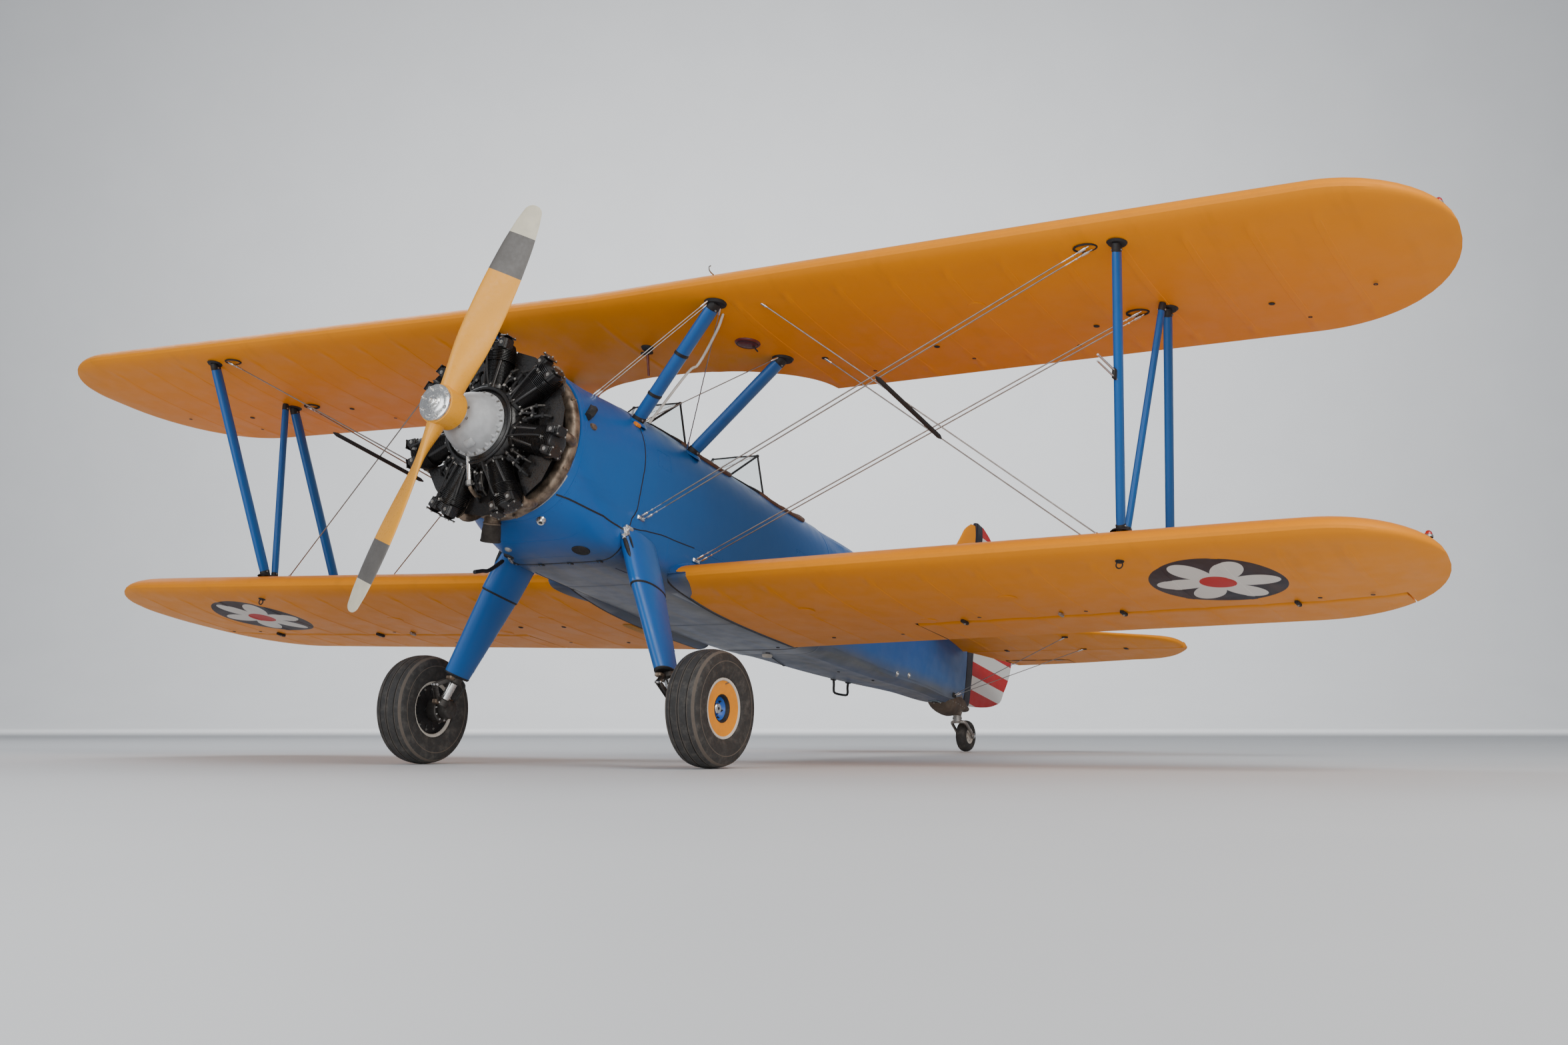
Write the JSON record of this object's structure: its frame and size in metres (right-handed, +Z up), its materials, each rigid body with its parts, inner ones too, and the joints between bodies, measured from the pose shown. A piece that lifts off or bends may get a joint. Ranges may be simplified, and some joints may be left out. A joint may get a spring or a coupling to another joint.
{
  "type": "two-seat training biplane",
  "caption": "Open-cockpit training biplane with a radial engine, wooden propeller and fixed tail-wheel landing gear, parked on its wheels.",
  "frame": {"origin": "on the ground under the middle of the whole bounding box, with the aircraft parked on its three tyres", "axes": "+X to the aircraft's left along the wing span, +Y towards the tail, +Z up"},
  "size_m": [9.8, 7.55, 3.0397],
  "materials": {
    "wing_fabric": "glossy yellow dope on fabric",
    "fuselage_fabric": "glossy blue dope on fabric",
    "blue_metal": "gloss blue",
    "rudder_stripes": "glossy red and white stripes with a navy band",
    "engine_black": "satin black enamel",
    "engine_grey": "cast grey",
    "exhaust": "heat-browned",
    "propeller_paint": "yellow roots, dark tips and cream ends",
    "steel": "bare",
    "tyre": "worn",
    "wheel_paint": "gloss yellow with a bright rim",
    "cockpit_green": "matt primer green",
    "panel_black": "matt black",
    "glass": "clear"
  },
  "bodies": {
    "airframe": {"nose_cowl": "blue_metal", "forward_fuselage": "blue_metal", "rear_fuselage": "fuselage_fabric", "cockpit_floor": "cockpit_green", "front_seat": "cockpit_green", "rear_seat": "cockpit_green", "front_instrument_panel": "panel_black", "rear_instrument_panel": "panel_black", "front_windscreen": "glass", "rear_windscreen": "glass", "engine": "engine_black", "engine_nose_case": "engine_grey", "exhaust_collector": "exhaust", "upper_wing_center": "wing_fabric", "upper_wing_left": "wing_fabric", "upper_wing_right": "wing_fabric", "lower_wing_left": "wing_fabric", "lower_wing_right": "wing_fabric", "interplane_strut_front_left": "blue_metal", "interplane_strut_rear_left": "blue_metal", "interplane_strut_diagonal_left": "blue_metal", "interplane_strut_front_right": "blue_metal", "interplane_strut_rear_right": "blue_metal", "interplane_strut_diagonal_right": "blue_metal", "cabane_strut_front_left": "blue_metal", "cabane_strut_rear_left": "blue_metal", "cabane_strut_front_right": "blue_metal", "cabane_strut_rear_right": "blue_metal", "flying_wires_front_left": "steel", "flying_wires_rear_left": "steel", "flying_wires_front_right": "steel", "flying_wires_rear_right": "steel", "landing_wire_front_left": "steel", "landing_wire_rear_left": "steel", "landing_wire_front_right": "steel", "landing_wire_rear_right": "steel", "fin": "wing_fabric", "stabilizer_left": "wing_fabric", "stabilizer_right": "wing_fabric", "gear_leg_left": "blue_metal", "gear_leg_right": "blue_metal", "gear_oleo_left": "steel", "gear_oleo_right": "steel", "tailwheel_housing": "steel"},
    "propeller": {"propeller_blades": "propeller_paint", "propeller_hub": "steel"},
    "main_wheel_left": {"tyre_left": "tyre", "wheel_left": "wheel_paint"},
    "main_wheel_right": {"tyre_right": "tyre", "wheel_right": "wheel_paint"},
    "tail_fork": {"tailwheel_fork": "steel"},
    "tail_wheel": {"tailwheel": "tyre"},
    "rudder_surface": {"rudder": "rudder_stripes"},
    "elevators": {"elevator_left": "wing_fabric", "elevator_right": "wing_fabric"},
    "left_aileron": {"aileron_left": "wing_fabric"},
    "right_aileron": {"aileron_right": "wing_fabric"}
  },
  "joints": [
    {"name": "propeller_spin", "type": "hinge", "parent": "airframe", "child": "propeller", "pos_m": [0, -3.54237, 1.93367], "axis": [0, 0.9796, -0.201], "continuous": true},
    {"name": "main_wheel_left_spin", "type": "hinge", "parent": "airframe", "child": "main_wheel_left", "pos_m": [1.032, -2.49817, 0.326], "axis": [1, 0, 0], "continuous": true},
    {"name": "main_wheel_right_spin", "type": "hinge", "parent": "airframe", "child": "main_wheel_right", "pos_m": [-1.032, -2.49817, 0.326], "axis": [1, 0, 0], "continuous": true},
    {"name": "tail_fork_steer", "type": "hinge", "parent": "airframe", "child": "tail_fork", "pos_m": [0, 2.7106, 0.25877], "axis": [0, 0, 1], "range_deg": [-30, 30]},
    {"name": "tail_wheel_spin", "type": "hinge", "parent": "tail_fork", "child": "tail_wheel", "pos_m": [0, 2.86528, 0.127], "axis": [1, 0, 0], "continuous": true},
    {"name": "rudder_hinge", "type": "hinge", "parent": "airframe", "child": "rudder_surface", "pos_m": [0, 2.84264, 0.62368], "axis": [0, 0.201, 0.9796], "range_deg": [-30, 30]},
    {"name": "elevator_hinge", "type": "hinge", "parent": "airframe", "child": "elevators", "pos_m": [0, 2.73067, 0.82428], "axis": [1, 0, 0], "range_deg": [-23, 27]},
    {"name": "aileron_left_hinge", "type": "hinge", "parent": "airframe", "child": "left_aileron", "pos_m": [1.5, -0.88559, 0.88664], "axis": [0.9997, 0.0053, 0.0256], "range_deg": [-20, 20]},
    {"name": "aileron_right_hinge", "type": "hinge", "parent": "airframe", "child": "right_aileron", "pos_m": [-1.5, -0.88559, 0.88664], "axis": [0.9997, -0.0053, -0.0256], "range_deg": [-20, 20]}
  ],
  "couplings": [
    {"joint": "aileron_right_hinge", "follows": "aileron_left_hinge", "ratio": -1}
  ]
}
